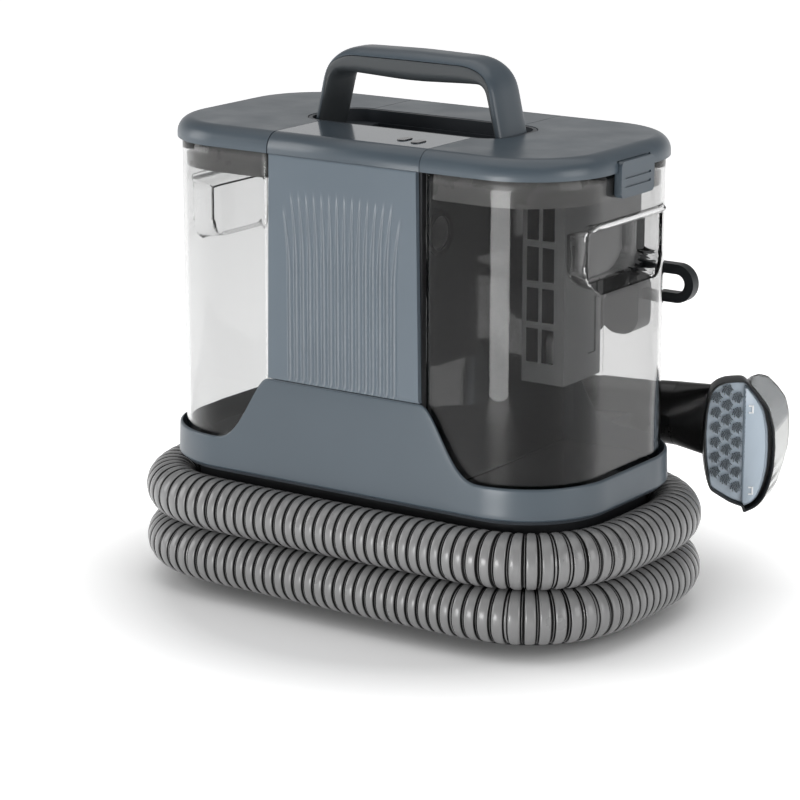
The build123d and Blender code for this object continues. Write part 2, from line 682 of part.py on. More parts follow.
def head_neck():
    """Neck of the brush head that flares from the spigot to the rim."""
    widths = [(SPIGOT[0] + 0.3, 17, 20), (150, 16.5, 22.5), (168, 14, 28)]
    sections = [tool_plane(d) * Ellipse(w, h) for d, w, h in widths]
    neck = loft(sections) - tool_rod(SPIGOT_R + 0.05, SPIGOT[0] - 3, SPIGOT[1] + 0.5)
    neck -= tool_rod(SPIGOT_R - 2, SPIGOT[1] - 2, 160)
    return neck - face_slab(shrink(FACE_OUTLINE, 1.3), -HEAD_DEPTH, 20)


def head_hood():
    """Clear hood over the suction slot of the brush head."""
    hood = face_slab(HOOD_OUTLINE, -HOOD_DEPTH, -6)
    hood -= face_slab(shrink(HOOD_OUTLINE, 0.9), -HOOD_DEPTH + 2, 0)
    neck_space = tool_rod(32.0, 120, 172)
    return hood - face_slab(FACE_OUTLINE, -HEAD_DEPTH, 0) - neck_space


def brush_plate():
    """Plate that holds the bristles."""
    return face_slab(shrink(FACE_OUTLINE, 0.92), -HEAD_DEPTH + 3.2, -7)


def tuft_places():
    """Staggered rows of bristle tufts over the left half of the face."""
    pitch = 9.4
    outer = [(-15.6, -19.4 + row * pitch) for row in range(6)]
    middle = [(-9.3, -23.1 + row * pitch) for row in range(6)]
    inner = [(-2.7, -27.8 + row * pitch) for row in range(7)]
    return outer + middle + inner


def bristle_tufts():
    """Bristle tufts."""
    tufts = []
    turns = [math.tau * k / 8 for k in range(8)]
    for u, v in tuft_places():
        corners = [(u + TUFT_R * math.cos(turn), v + TUFT_R * math.sin(turn)) for turn in turns]
        tufts.append(face_slab(corners, -6.99, 0.8))
    return tufts


def suction_lip():
    """Smooth plate beside the bristles, along the suction slot."""
    return face_slab(LIP_OUTLINE, -6.9, -1.5)


# ---- Hose ----
def coil_turn(z):
    """Route points of one turn round the base, from the right end of the back to its left end."""
    half_x = HALF_X + HOSE_OUT
    half_y = HALF_Y + HOSE_OUT
    radius = CORNER_R + HOSE_OUT
    step = math.radians(90 / CORNER_POINTS)
    reach = radius / math.cos(step / 2)
    turn = []
    corners = [(1, 1, 90), (1, -1, 0), (-1, -1, -90), (-1, 1, -180)]
    for x_sign, y_sign, start in corners:
        centre = (x_sign * (half_x - radius), y_sign * (half_y - radius))
        for index in range(CORNER_POINTS):
            angle = math.radians(start) - step * (index + 0.5)
            turn.append((centre[0] + reach * math.cos(angle), centre[1] + reach * math.sin(angle), z))
        turn += side_points(x_sign, y_sign, half_x, half_y, radius, z)
    return turn


def side_points(x_sign, y_sign, half_x, half_y, radius, z):
    """Points between one corner and the next, bowed out a little; none along the back."""
    if x_sign == y_sign:
        return [(x_sign * (half_x + SIDE_BULGE), 0, z)]
    if x_sign > 0:
        bows = ((52, SIDE_BULGE), (0, 1.5 * SIDE_BULGE), (-52, SIDE_BULGE))
        return [(x, -half_y - bow, z) for x, bow in bows]
    return []


def hose_points():
    """The whole route: elbow, low turn, climb across the back, high turn, then up to the tool."""
    back = HALF_Y + HOSE_OUT
    climb = [(-84.0, back + 0.6, 25.5), (-38.0, back + 1.2, 40.0), (12.0, back + 1.6, 56.4),
             (62.0, back + 0.8, HOSE_HIGH)]
    start = [(HOSE_EXIT_X, back, HOSE_LOW)]
    low = coil_turn(HOSE_LOW)
    high = coil_turn(HOSE_HIGH)[:-CORNER_POINTS]
    end = [tuple(tool_plane(-CUFF - run).origin) for run in (24, 0)]
    return start + low + climb + high + LEAD_OUT + end


def bend_radii(points):
    """Radius of each bend: as large as its two runs allow."""
    radii = []
    for before, here, after in zip(points, points[1:], points[2:]):
        run_in = Vector(*here) - Vector(*before)
        run_out = Vector(*after) - Vector(*here)
        half_turn = math.radians(run_in.get_angle(run_out)) / 2
        radii.append(0.45 * min(run_in.length, run_out.length) / math.tan(half_turn))
    return radii


def hose():
    """Suction hose as a plain tube of its outer diameter."""
    points = hose_points()
    radii = bend_radii(points)
    path = FilletPolyline(*points, radius=radii)
    solid = sweep(Plane(origin=path @ 0, z_dir=path % 0) * Circle(HOSE_D / 2), path)
    print("hose length", round(path.length), "bends", [round(r) for r in radii])
    section = math.pi * HOSE_D**2 / 4
    print("hose volume", round(solid.volume), "section by length", round(path.length * section))
    return solid


def left(shape):
    """The same piece at the -X end."""
    return mirror(shape, Plane.YZ)


def write(name, shape):
    """Writes one node; a list becomes a group of separate solids."""
    if isinstance(shape, list):
        shape = Compound(children=[Part() + piece for piece in shape])
    export_step(shape, f"parts/{name}.step")


def base_nodes():
    """Foot, base housing and hose inlet."""
    write("base_plate", base_plate())
    write("feet", feet())
    write("hose_core", hose_core())
    write("base_shell", base_shell())
    write("hose_elbow", hose_elbow())
    write("hose", hose())
    write("tool_cradle", tool_cradle())


def housing_nodes():
    """Centre housing, handle and rear holder."""
    write("front_panel", front_panel())
    write("rear_cover", rear_cover())
    write("side_wall_left", left(side_wall([])))
    write("side_wall_right", side_wall(PORTS))
    write("control_panel", control_panel())
    write("rear_top_strip", top_strip(RECESS_Y[1], HALF_Y - TOP_EDGE_R - 0.1))
    write("recess_tray", recess_tray())
    write("handle_shell", handle_shell())
    write("handle_grip", handle_grip())
    write("mains_inlet", mains_inlet())
    write("holder_arm", holder_arm())
    write("holder_cup", holder_cup())
    write("hook_loop", hook_loop())
    for name, centre in BUTTONS.items():
        write(name, button(centre))


def inner_nodes():
    """Fan, motor, pump, ducts and switches."""
    write("fan_housing", fan_housing())
    write("impeller", impeller())
    write("fan_shaft", fan_shaft())
    write("motor_body", motor_body())
    write("motor_bearings", motor_bearings())
    write("motor_bracket", motor_bracket())
    write("motor_mount", motor_mount())
    write("suction_duct", suction_duct())
    write("air_duct", air_duct())
    write("port_seals", port_seals())
    write("pump", pump())
    write("water_tube", water_tube())
    write("control_board", control_board())
    write("switch_block", switch_block())
    write("valve_pin", valve_pin())


def tank_nodes():
    """Both tanks with their lids, and the separator and float of the dirty tank."""
    write("clean_tank", clean_tank_shell())
    write("clean_valve", clean_valve())
    write("clean_lid", left(tank_lid()))
    write("clean_lid_pan", left(lid_pan()))
    write("clean_lid_tab", left(latch_tab()))
    write("dirty_tank", tank_shell(PORTS))
    write("dirty_lid", tank_lid())
    write("dirty_lid_pan", lid_pan())
    write("dirty_lid_tab", latch_tab())
    write("separator_cage", separator_cage())
    write("float_stop", float_stop())
    write("float_ball", float_ball())


def tool_nodes():
    """Hand tool and its brush head."""
    write("gun_cuff", gun_cuff())
    write("gun_body", gun_body())
    write("gun_trigger", gun_trigger())
    write("head_neck", head_neck())
    write("head_frame", head_frame())
    write("head_hood", head_hood())
    write("brush_plate", brush_plate())
    write("bristle_tufts", bristle_tufts())
    write("suction_lip", suction_lip())


def main():
    os.makedirs("parts", exist_ok=True)
    base_nodes()
    housing_nodes()
    inner_nodes()
    tank_nodes()
    tool_nodes()


if __name__ == "__main__":
    main()
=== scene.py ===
import json
import math
import random

import bmesh
import bpy
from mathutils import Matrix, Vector


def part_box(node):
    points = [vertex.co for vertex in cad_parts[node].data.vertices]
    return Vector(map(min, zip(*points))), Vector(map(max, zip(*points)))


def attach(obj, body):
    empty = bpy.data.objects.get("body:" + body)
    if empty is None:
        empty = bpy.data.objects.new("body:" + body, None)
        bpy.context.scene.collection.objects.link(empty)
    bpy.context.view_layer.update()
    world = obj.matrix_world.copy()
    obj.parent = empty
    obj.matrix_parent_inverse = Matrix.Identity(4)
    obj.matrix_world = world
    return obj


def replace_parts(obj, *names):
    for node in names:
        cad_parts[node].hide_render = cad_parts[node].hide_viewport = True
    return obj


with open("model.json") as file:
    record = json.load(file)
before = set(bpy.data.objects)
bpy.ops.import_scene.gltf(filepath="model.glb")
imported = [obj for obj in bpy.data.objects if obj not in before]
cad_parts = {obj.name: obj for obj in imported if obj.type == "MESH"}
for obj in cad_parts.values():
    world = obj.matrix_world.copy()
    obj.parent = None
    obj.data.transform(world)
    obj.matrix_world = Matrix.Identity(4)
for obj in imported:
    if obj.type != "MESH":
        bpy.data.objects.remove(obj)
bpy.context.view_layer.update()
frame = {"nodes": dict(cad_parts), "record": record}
MM = 0.001

# ---- Places taken from the frame, in metres ----
LID_LOW, LID_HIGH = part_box("dirty_lid")
PANEL_LOW, PANEL_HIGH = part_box("front_panel")
TANK_LOW, TANK_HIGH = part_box("dirty_tank")
HALF_X = LID_HIGH.x
HALF_Y = LID_HIGH.y
TOP_Z = LID_HIGH.z
LID_Z = LID_LOW.z
SEAM_X = PANEL_HIGH.x
PANEL_Z = PANEL_LOW.z
BASE_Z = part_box("base_shell")[0].z
CORNER_R = 52.6 * MM
RIM_Z = 97.6 * MM
DECK_Z = TANK_LOW.z - 0.5 * MM

# ---- Camera ----
CAMERA_AT = (1.0326, -1.5088, 0.5883)
CAMERA_AZIMUTH = 34.76
CAMERA_ELEVATION = 14.46
CAMERA_LENS = 140.6
SENSOR_WIDTH = 36


def camera():
    data = bpy.data.cameras.new("camera")
    data.lens = CAMERA_LENS
    data.sensor_width = SENSOR_WIDTH
    item = bpy.data.objects.new("camera", data)
    item.location = CAMERA_AT
    item.rotation_euler = (math.radians(90 - CAMERA_ELEVATION), 0, math.radians(CAMERA_AZIMUTH))
    bpy.context.scene.collection.objects.link(item)
    bpy.context.scene.camera = item


# ---- Materials ----
def new_material(name):
    material = bpy.data.materials.new(name)
    material.use_nodes = True
    nodes = material.node_tree.nodes
    return material, nodes, material.node_tree.links, nodes["Principled BSDF"]


def noise_node(nodes, links, scale, detail=3.0, stretch=(1, 1, 1)):
    """Noise in the object's own space."""
    place = nodes.new("ShaderNodeTexCoord")
    mapping = nodes.new("ShaderNodeMapping")
    mapping.inputs["Scale"].default_value = stretch
    noise = nodes.new("ShaderNodeTexNoise")
    noise.inputs["Scale"].default_value = scale
    noise.inputs["Detail"].default_value = detail
    links.new(place.outputs["Object"], mapping.inputs["Vector"])
    links.new(mapping.outputs["Vector"], noise.inputs["Vector"])
    return noise


def ramp_node(nodes, links, source, low, high, start=0.3, end=0.7):
    """Colour ramp between two colours or two grey values."""
    ramp = nodes.new("ShaderNodeValToRGB")
    ramp.color_ramp.elements[0].position = start
    ramp.color_ramp.elements[1].position = end
    ramp.color_ramp.elements[0].color = low
    ramp.color_ramp.elements[1].color = high
    links.new(source, ramp.inputs["Fac"])
    return ramp


def grey(value):
    return (value, value, value, 1)


def shade(color, factor):
    return tuple(c * factor for c in color[:3]) + (1,)


def plastic(name, color, rough=0.4, grain=900, bump=0.02, vary=0.06, coat=0.0, specular=0.5):
    """Moulded plastic: fine spark-eroded grain, slightly uneven colour and gloss."""
    material, nodes, links, shader = new_material(name)
    cloud = noise_node(nodes, links, 9, 4)
    tint = ramp_node(nodes, links, cloud.outputs["Fac"], shade(color, 1 - vary), shade(color, 1 + vary))
    links.new(tint.outputs["Color"], shader.inputs["Base Color"])
    smear = noise_node(nodes, links, 42, 5)
    gloss = ramp_node(nodes, links, smear.outputs["Fac"], grey(rough * 0.88), grey(min(1, rough * 1.12)))
    links.new(gloss.outputs["Color"], shader.inputs["Roughness"])
    grains = noise_node(nodes, links, grain, 2)
    height = nodes.new("ShaderNodeBump")
    height.inputs["Strength"].default_value = bump
    height.inputs["Distance"].default_value = 0.0004
    links.new(grains.outputs["Fac"], height.inputs["Height"])
    links.new(height.outputs["Normal"], shader.inputs["Normal"])
    shader.inputs["Coat Weight"].default_value = coat
    shader.inputs["Coat Roughness"].default_value = 0.08
    shader.inputs["Specular IOR Level"].default_value = specular
    return material


def rubber(name, color):
    """Soft rubber with a dusty, pitted surface."""
    return plastic(name, color, rough=0.72, grain=500, bump=0.12, vary=0.15, specular=0.3)


def metal(name, color, rough=0.3):
    """Turned metal with a fine, even grain."""
    material = plastic(name, color, rough=rough, grain=700, bump=0.05)
    material.node_tree.nodes["Principled BSDF"].inputs["Metallic"].default_value = 1
    return material


def clear(name, color, rough=0.012, ior=1.46, specular=0.3):
    """Clear moulded plastic with faint flow marks."""
    material, nodes, links, shader = new_material(name)
    flow = noise_node(nodes, links, 6, 2, (1, 1, 0.25))
    tint = ramp_node(nodes, links, flow.outputs["Fac"], shade(color, 0.97), shade(color, 1.0))
    links.new(tint.outputs["Color"], shader.inputs["Base Color"])
    smear = noise_node(nodes, links, 30, 3)
    gloss = ramp_node(nodes, links, smear.outputs["Fac"], grey(rough * 0.6), grey(rough * 1.4))
    links.new(gloss.outputs["Color"], shader.inputs["Roughness"])
    height = nodes.new("ShaderNodeBump")
    height.inputs["Strength"].default_value = 0.03
    height.inputs["Distance"].default_value = 0.001
    links.new(flow.outputs["Fac"], height.inputs["Height"])
    links.new(height.outputs["Normal"], shader.inputs["Normal"])
    shader.inputs["Transmission Weight"].default_value = 1
    shader.inputs["IOR"].default_value = ior
    shader.inputs["Specular Tint"].default_value = grey(specular)
    return material


SLATE = (0.050, 0.067, 0.083)
SLATE_LIGHT = (0.078, 0.101, 0.123)
MATERIALS = {
    "slate_shell": plastic("slate_shell", SLATE, rough=0.33),
    "panel_blue": plastic("panel_blue", SLATE_LIGHT, rough=0.36),
    "gloss_control": plastic("gloss_control", (0.052, 0.070, 0.088), rough=0.12, bump=0.004, coat=0.3),
    "grip_dark": plastic("grip_dark", (0.045, 0.051, 0.055), rough=0.42, bump=0.04),
    "recess_black": plastic("recess_black", (0.030, 0.036, 0.044), rough=0.42),
    "button_black": plastic("button_black", (0.012, 0.013, 0.015), rough=0.22, coat=0.4),
    "dark_base": plastic("dark_base", (0.014, 0.015, 0.017), rough=0.45, bump=0.05, specular=0.3),
    "black_plastic": plastic("black_plastic", (0.014, 0.016, 0.018), rough=0.4, specular=0.35),
    "black_gloss": plastic("black_gloss", (0.006, 0.006, 0.006), rough=0.25, bump=0.01, specular=0.3),
    "hose_grey": plastic("hose_grey", (0.165, 0.165, 0.166), rough=0.3, grain=300, bump=0.1, coat=0.25),
    "hose_dark": plastic("hose_dark", (0.006, 0.006, 0.006), rough=0.35, specular=0.3),
    "pan_grey": plastic("pan_grey", (0.115, 0.113, 0.110), rough=0.28),
    "cage_dark": plastic("cage_dark", (0.070, 0.072, 0.074), rough=0.4),
    "inner_grey": plastic("inner_grey", (0.30, 0.30, 0.30), rough=0.5),
    "inner_dark": plastic("inner_dark", (0.024, 0.025, 0.027), rough=0.4),
    "seal_grey": rubber("seal_grey", (0.22, 0.22, 0.22)),
    "foot_rubber": rubber("foot_rubber", (0.018, 0.018, 0.018)),
    "steel": metal("steel", (0.60, 0.60, 0.61), 0.25),
    "motor_steel": metal("motor_steel", (0.42, 0.42, 0.43), 0.4),
    "board_green": plastic("board_green", (0.02, 0.12, 0.05), rough=0.35),
    "plate_blue": plastic("plate_blue", (0.40, 0.475, 0.55), rough=0.2, coat=0.4),
    "bristle_blue": plastic("bristle_blue", (0.27, 0.31, 0.34), rough=0.55, grain=1500, bump=0.3),
    "clip_white": plastic("clip_white", (0.90, 0.91, 0.92), rough=0.3),
    "clear_tank": clear("clear_tank", (0.76, 0.762, 0.762)),
    "smoke_tank": clear("smoke_tank", (0.72, 0.72, 0.72)),
    "clear_hood": clear("clear_hood", (0.70, 0.705, 0.70)),
    "hood_smoke": clear("hood_smoke", (0.34, 0.35, 0.36), rough=0.05, specular=0.5),
}


def dress_cad():
    """Gives every CAD node the material of its slot."""
    for part in frame["record"]["subparts"]:
        node = frame["nodes"][part["node"]]
        node.data.materials.clear()
        node.data.materials.append(MATERIALS[part["material_slot"]])


# ---- Mesh building ----
def piece(name, verts, faces, slots, body, face_slots=None, sharp=38):
    """Mesh object that rides on a body; slots are the material slots that its faces use."""
    mesh = bpy.data.meshes.new(name)
    mesh.from_pydata([tuple(v) for v in verts], [], faces)
    for slot in slots:
        mesh.materials.append(MATERIALS[slot])
    if face_slots:
        mesh.polygons.foreach_set("material_index", face_slots)
    tidy = bmesh.new()
    tidy.from_mesh(mesh)
    bmesh.ops.recalc_face_normals(tidy, faces=tidy.faces)
    tidy.to_mesh(mesh)
    tidy.free()
    mesh.polygons.foreach_set("use_smooth", [True] * len(mesh.polygons))
    mesh.set_sharp_from_angle(angle=math.radians(sharp))
    item = bpy.data.objects.new(name, mesh)
    bpy.context.scene.collection.objects.link(item)
    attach(item, body)
    return item


def skin(rows, closed=True, cap_start=False, cap_end=False):
    """Faces between rows of points, each row as long as the next."""
    verts = [point for row in rows for point in row]
    width = len(rows[0])
    faces = []
    for r in range(len(rows) - 1):
        for c in range(width if closed else width - 1):
            d = (c + 1) % width
            faces.append((r * width + c, r * width + d, (r + 1) * width + d, (r + 1) * width + c))
    if cap_start:
        faces.append(tuple(range(width)))
    if cap_end:
        faces.append(tuple((len(rows) - 1) * width + c for c in range(width)))
    return verts, faces


def filled(name, node, rows, slots, body, sharp=38):
    """Piece between rows of points, capped at both ends, that stands in for a CAD node."""
    verts, faces = skin(rows, cap_start=True, cap_end=True)
    item = piece(name, verts, faces, slots, body, sharp=sharp)
    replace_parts(item, node)


def steps(low, high, step):
    """Values from low up to but not including high, about a step apart."""
    count = max(1, round(abs(high - low) / step))
    return [low + (high - low) * i / count for i in range(count)]


def body_outline(step):
    """Body outline as (point, outward normal), anticlockwise from the front left."""
    cx, cy = HALF_X - CORNER_R, HALF_Y - CORNER_R
    turn = math.pi / 2
    points = []

    def corner(x, y, start):
        for a in steps(start, start + turn, step / CORNER_R):
            normal = Vector((math.cos(a), math.sin(a)))
            points.append((Vector((x, y)) + normal * CORNER_R, normal))

    points += [(Vector((x, -HALF_Y)), Vector((0, -1))) for x in steps(-cx, cx, step)]
    corner(cx, -cy, -turn)
    points += [(Vector((HALF_X, y)), Vector((1, 0))) for y in steps(-cy, cy, step)]
    corner(cx, cy, 0)
    points += [(Vector((x, HALF_Y)), Vector((0, 1))) for x in steps(cx, -cx, step)]
    corner(-cx, cy, turn)
    points += [(Vector((-HALF_X, y)), Vector((-1, 0))) for y in steps(cy, -cy, step)]
    corner(-cx, -cy, 2 * turn)
    return points


# ---- Base shell ----
APRON_TOP_X = SEAM_X + 1 * MM
APRON_END_X = 97 * MM
BASE_FLARE = 2.1 * MM
BASE_INSET = 0.4 * MM
BASE_EDGE_R = 1.5 * MM
LIP_DROP = 2.4 * MM
CHANNEL_IN = 10.6 * MM


def apron_height(x):
    """Top edge of the base shell: high in the middle, sweeping down to the rim."""
    u = (abs(x) - APRON_TOP_X) / (APRON_END_X - APRON_TOP_X)
    u = min(1, max(0, u))
    return RIM_Z + (PANEL_Z - 0.4 * MM - RIM_Z) * (1 - u) ** 3 * (1 + 3 * u)


def base_out(z):
    """Offset of the base shell's outer face: widest at its lower edge."""
    return BASE_FLARE * (1 - (z - BASE_Z) / (PANEL_Z - BASE_Z))


def base_housing():
    """Base shell with its deck, rounded edges and a set-back lip below."""
    edge = BASE_EDGE_R
    rows = []
    ring = body_outline(2 * MM)

    def row(offset_height):
        points = []
        for point, normal in ring:
            offset, z = offset_height(apron_height(point.x))
            flat = point + normal * offset
            points.append((flat.x, flat.y, z))
        rows.append(points)

    row(lambda top: (-BASE_INSET, DECK_Z))
    row(lambda top: (-BASE_INSET, top - 0.6 * MM))
    for k in range(6):
        a = math.radians(90 - k * 18)
        row(lambda top: (base_out(top) - edge + edge * math.cos(a) if a < 1.57 else 0.3 * MM - BASE_INSET,
                         top - edge + edge * math.sin(a)))
    for t in (0.2, 0.4, 0.6, 0.8):
        row(lambda top: (base_out(top + (BASE_Z - top) * t), top + (BASE_Z - top) * t))
    for k in range(5):
        a = math.radians(k * 22.5)
        row(lambda top: (BASE_FLARE - edge + edge * math.cos(a), BASE_Z + edge - edge * math.sin(a)))
    skirt = len(rows)
    row(lambda top: (-1.0 * MM, BASE_Z))
    row(lambda top: (-1.6 * MM, BASE_Z - LIP_DROP))
    row(lambda top: (-CHANNEL_IN, BASE_Z - LIP_DROP))
    verts, faces = skin(rows, cap_start=True, cap_end=True)
    deck = [0 if i < skirt * len(ring) else 1 for i in range(len(faces) - 2)] + [1, 1]
    shell = piece("base_housing", verts, faces, ["slate_shell", "recess_black"], "base", deck)
    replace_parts(shell, "base_shell")


# ---- Front panel ----
RIB_COUNT = 16
RIB_PITCH = 4.95 * MM
RIB_DEPTH = 1.1 * MM
RIB_TIP_Z = 256 * MM
RIB_RISE = 45 * MM
PANEL_FACE = 0.7 * MM
PANEL_COLUMNS = 320
PANEL_BEVEL = 0.5 * MM
TOP_EDGE_R = 9.5 * MM


def groove_depth(x, z):
    """Depth of the pleats at a point of the panel: grooves that widen downwards from a fine tip."""
    depth = 0
    for k in range(RIB_COUNT):
        along = k - (RIB_COUNT - 1) / 2
        tip = RIB_TIP_Z - (8 * MM if k in (0, RIB_COUNT - 1) else 0) - abs(along) * 0.25 * MM
        drop = (tip - z) / RIB_RISE
        if drop <= 0:
            continue
        fade = min(1, drop)
        fan = 1 + 0.13 * max(0, 1 - drop) ** 2
        centre = along * RIB_PITCH * fan
        half = RIB_PITCH * (0.16 + 0.26 * fade)
        near = abs(x - centre) / half
        if near < 1:
            depth = max(depth, (1 - near ** 2.4) * (0.35 + 0.65 * fade) * min(1, drop * 6))
    return RIB_DEPTH * depth


def panel_half(z):
    """Half width of the centre panel: it narrows a little towards the top."""
    t = (z - PANEL_Z) / (LID_Z - PANEL_Z)
    return SEAM_X + (0.9 - 2.0 * t) * MM


def front_face():
    """Ribbed front panel with bevelled edges."""
    y0 = -HALF_Y - PANEL_FACE
    back = -HALF_Y + 2.5 * MM
    low, high = PANEL_Z + 0.2 * MM, LID_Z + 0.1 * MM
    rows = []
    heights = steps(low, high, 1.6 * MM) + [high]

    def row(y, z, inset=0.0, ribs=False):
        points = []
        for c in range(PANEL_COLUMNS + 1):
            s = -1 + 2 * c / PANEL_COLUMNS
            x = s * (panel_half(z) - inset)
            points.append((x, y + (groove_depth(x, z) if ribs else 0), z))
        rows.append(points)

    row(back, low + 0.01 * MM)
    row(y0 + PANEL_BEVEL, low)
    for z in heights[1:-1]:
        row(y0, z, PANEL_BEVEL, True)
    row(y0, high - PANEL_BEVEL, PANEL_BEVEL, True)
    row(y0 + PANEL_BEVEL, high)
    row(back, high)
    for line in rows:
        first, last = line[0], line[-1]
        line.insert(0, (first[0], back, first[2]))
        line.append((last[0], back, last[2]))
    verts, faces = skin(rows)
    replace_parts(piece("front_face", verts, faces, ["panel_blue"], "base", sharp=50), "front_panel")


def front_top_edge():
    """The centre's top edge above the panel, in line with the edges of the lids."""
    rows = []
    profile = [(-HALF_Y + 3 * MM, LID_Z), (-HALF_Y, LID_Z)]
    for k in range(13):
        a = math.radians(k * 7.5)
        y = -HALF_Y + TOP_EDGE_R * (1 - math.cos(a))
        profile.append((y, TOP_Z - TOP_EDGE_R + TOP_EDGE_R * math.sin(a)))
    profile.append((-HALF_Y + TOP_EDGE_R, TOP_Z - 3 * MM))
    for x in (-SEAM_X, -SEAM_X + 0.3 * MM, SEAM_X - 0.3 * MM, SEAM_X):
        inset = 0.3 * MM if abs(x) > SEAM_X - 0.1 * MM else 0
        rows.append([(x, y + inset * 0.7, z - inset * 0.3) for y, z in profile])
    filled("front_top_edge", "front_panel", rows, ["slate_shell"], "base")


# ---- Tanks ----
TANK_OFF = -2.8 * MM
TANK_WALL = 2.2 * MM
TANK_IN_X = TANK_LOW.x
TANK_FOOT_R = 4 * MM
INNER_R = 4 * MM
SHELF_Z = 263.5 * MM
SHELF_Y = (-28 * MM, 31 * MM)
POCKET_LOW = 205 * MM
POCKET_TOP = 243 * MM
POCKET_HALF = 41 * MM
POCKET_DEPTH = 15.5 * MM
POCKET_EDGE = 3.2 * MM
LIP_OUT = 3.3 * MM
LIP_H = 3.2 * MM


def smooth(t):
    """Eased step from 0 to 1."""
    t = min(1, max(0, t))
    return t * t * (3 - 2 * t)


def pocket_shift(y, z):
    """How far a tank's end wall is moved out at a point: in for the finger pocket, out for its lip."""
    corner = 17 * MM if z < (POCKET_LOW + POCKET_TOP) / 2 else 4 * MM
    middle = (POCKET_LOW + POCKET_TOP) / 2
    qx = abs(y) - (POCKET_HALF - corner)
    qz = abs(z - middle) - ((POCKET_TOP - POCKET_LOW) / 2 - corner)
    inside = corner - math.hypot(max(qx, 0), max(qz, 0)) - min(max(qx, qz), 0)
    shift = -POCKET_DEPTH * smooth(inside / POCKET_EDGE)
    lip_z = (z - (POCKET_TOP + 1.6 * MM)) / (LIP_H * 0.62)
    lip_y = smooth((POCKET_HALF + 1 * MM - abs(y)) / (3 * MM))
    if abs(lip_z) < 1:
        shift = max(shift, 0) + LIP_OUT * lip_y * math.sqrt(1 - lip_z ** 2)
    return shift


def tank_outline():
    """Outline of the +X tank as (point, normal), with a finer step across its end."""
    ring = [(p, n) for p, n in body_outline(1.5 * MM) if p.x > TANK_IN_X + INNER_R]
    first_x = min(p.x for p, n in ring if p.y < 0)
    start = next(i for i, (p, n) in enumerate(ring) if p.y < 0 and p.x == first_x)
    ring = ring[start:] + ring[:start]
    ring = [item for i, item in enumerate(ring) if item[1].x > 0.7 or i % 2 == 0]
    edge_y = HALF_Y + TANK_OFF
    for sign in (1, -1):
        for a in steps(0, math.pi / 2, math.pi / 10) + [math.pi / 2]:
            turn = math.pi / 2 + a if sign > 0 else math.pi + a
            normal = Vector((math.cos(turn), math.sin(turn)))
            centre = Vector((TANK_IN_X + INNER_R, sign * (edge_y - INNER_R)))
            ring.append((centre + normal * (INNER_R - TANK_OFF), normal))
        if sign > 0:
            for y in steps(edge_y - INNER_R, -edge_y + INNER_R, 6 * MM)[1:]:
                ring.append((Vector((TANK_IN_X + TANK_OFF, y)), Vector((-1, 0))))
    return ring


def tank_rows(ring, side):
    """Rows of a tank: outer face up, over the rim, and down the inner face to its floor."""
    top = TANK_HIGH.z
    low = TANK_LOW.z
    heights = steps(low + TANK_FOOT_R, 200 * MM, 12 * MM) + steps(200 * MM, POCKET_TOP - 1 * MM, 1.3 * MM)
    heights += steps(POCKET_TOP - 1 * MM, POCKET_TOP + 5 * MM, 0.4 * MM)
    heights += steps(POCKET_TOP + 5 * MM, top, 6 * MM)
    rows = []

    def row(offset, z, pocket=True):
        points = []
        for point, normal in ring:
            flat = point + normal * (TANK_OFF + offset)
            height = min(z, SHELF_Z) if normal.x < -0.95 and SHELF_Y[0] < point.y < SHELF_Y[1] else z
            x = flat.x
            if pocket and normal.x > 0.9:
                x += pocket_shift(flat.y, z) * smooth((normal.x - 0.9) / 0.08)
            points.append((side * x, flat.y, height))
        rows.append(points)

    for k in range(5):
        a = math.radians(90 - k * 22.5)
        row(-TANK_FOOT_R * (1 - math.cos(a)), low + TANK_FOOT_R * (1 - math.sin(a)), False)
    for z in heights[1:]:
        row(0, z)
    row(0, top - 0.5 * MM)
    row(-0.4 * MM, top)
    row(-TANK_WALL + 0.4 * MM, top)
    row(-TANK_WALL, top - 0.5 * MM)
    for z in reversed(heights[1:]):
        row(-TANK_WALL, z)
    inner_r = TANK_FOOT_R - 1 * MM
    for k in range(5):
        a = math.radians(k * 22.5)
        row(-TANK_WALL - inner_r * (1 - math.cos(a)), low + TANK_WALL + inner_r * (1 - math.sin(a)), False)
    return rows


def tank(name, node, side, slot, body):
    """One tank; side is -1 for the clean tank at -X and 1 for the dirty tank at +X."""
    filled(name, node, tank_rows(tank_outline(), side), [slot], body, sharp=60)


# ---- Hose ----
HOSE_OUT = 6.5 * MM
HOSE_LOW = 24.2 * MM
HOSE_HIGH = 57 * MM
HOSE_PITCH = 7.3 * MM
CORNER_POINTS = 3
SIDE_BULGE = 1.2 * MM
HOSE_EXIT_X = 62 * MM
LEAD_OUT = [(-156.5, 38.0, 57.6), (-146.5, 65.0, 60.5), (-127.0, 85.5, 65.0), (-103.5, 98.2, 74.5),
            (-83.0, 101.0, 87.0)]
TOOL_TAIL = Vector((-26.0, 106.0, 98.0)) * MM
TOOL_YAW = math.radians(8)
TOOL_ALONG = Vector((math.cos(TOOL_YAW), math.sin(TOOL_YAW), 0))
CUFF = 14 * MM


def side_points(x_sign, y_sign, half_x, half_y, z):
    """Points between one corner and the next, bowed out a little; none along the back."""
    if x_sign == y_sign:
        return [(x_sign * (half_x + SIDE_BULGE), 0, z)]
    if x_sign > 0:
        bows = ((52 * MM, SIDE_BULGE), (0, 1.5 * SIDE_BULGE), (-52 * MM, SIDE_BULGE))
        return [(x, -half_y - bow, z) for x, bow in bows]
    return []


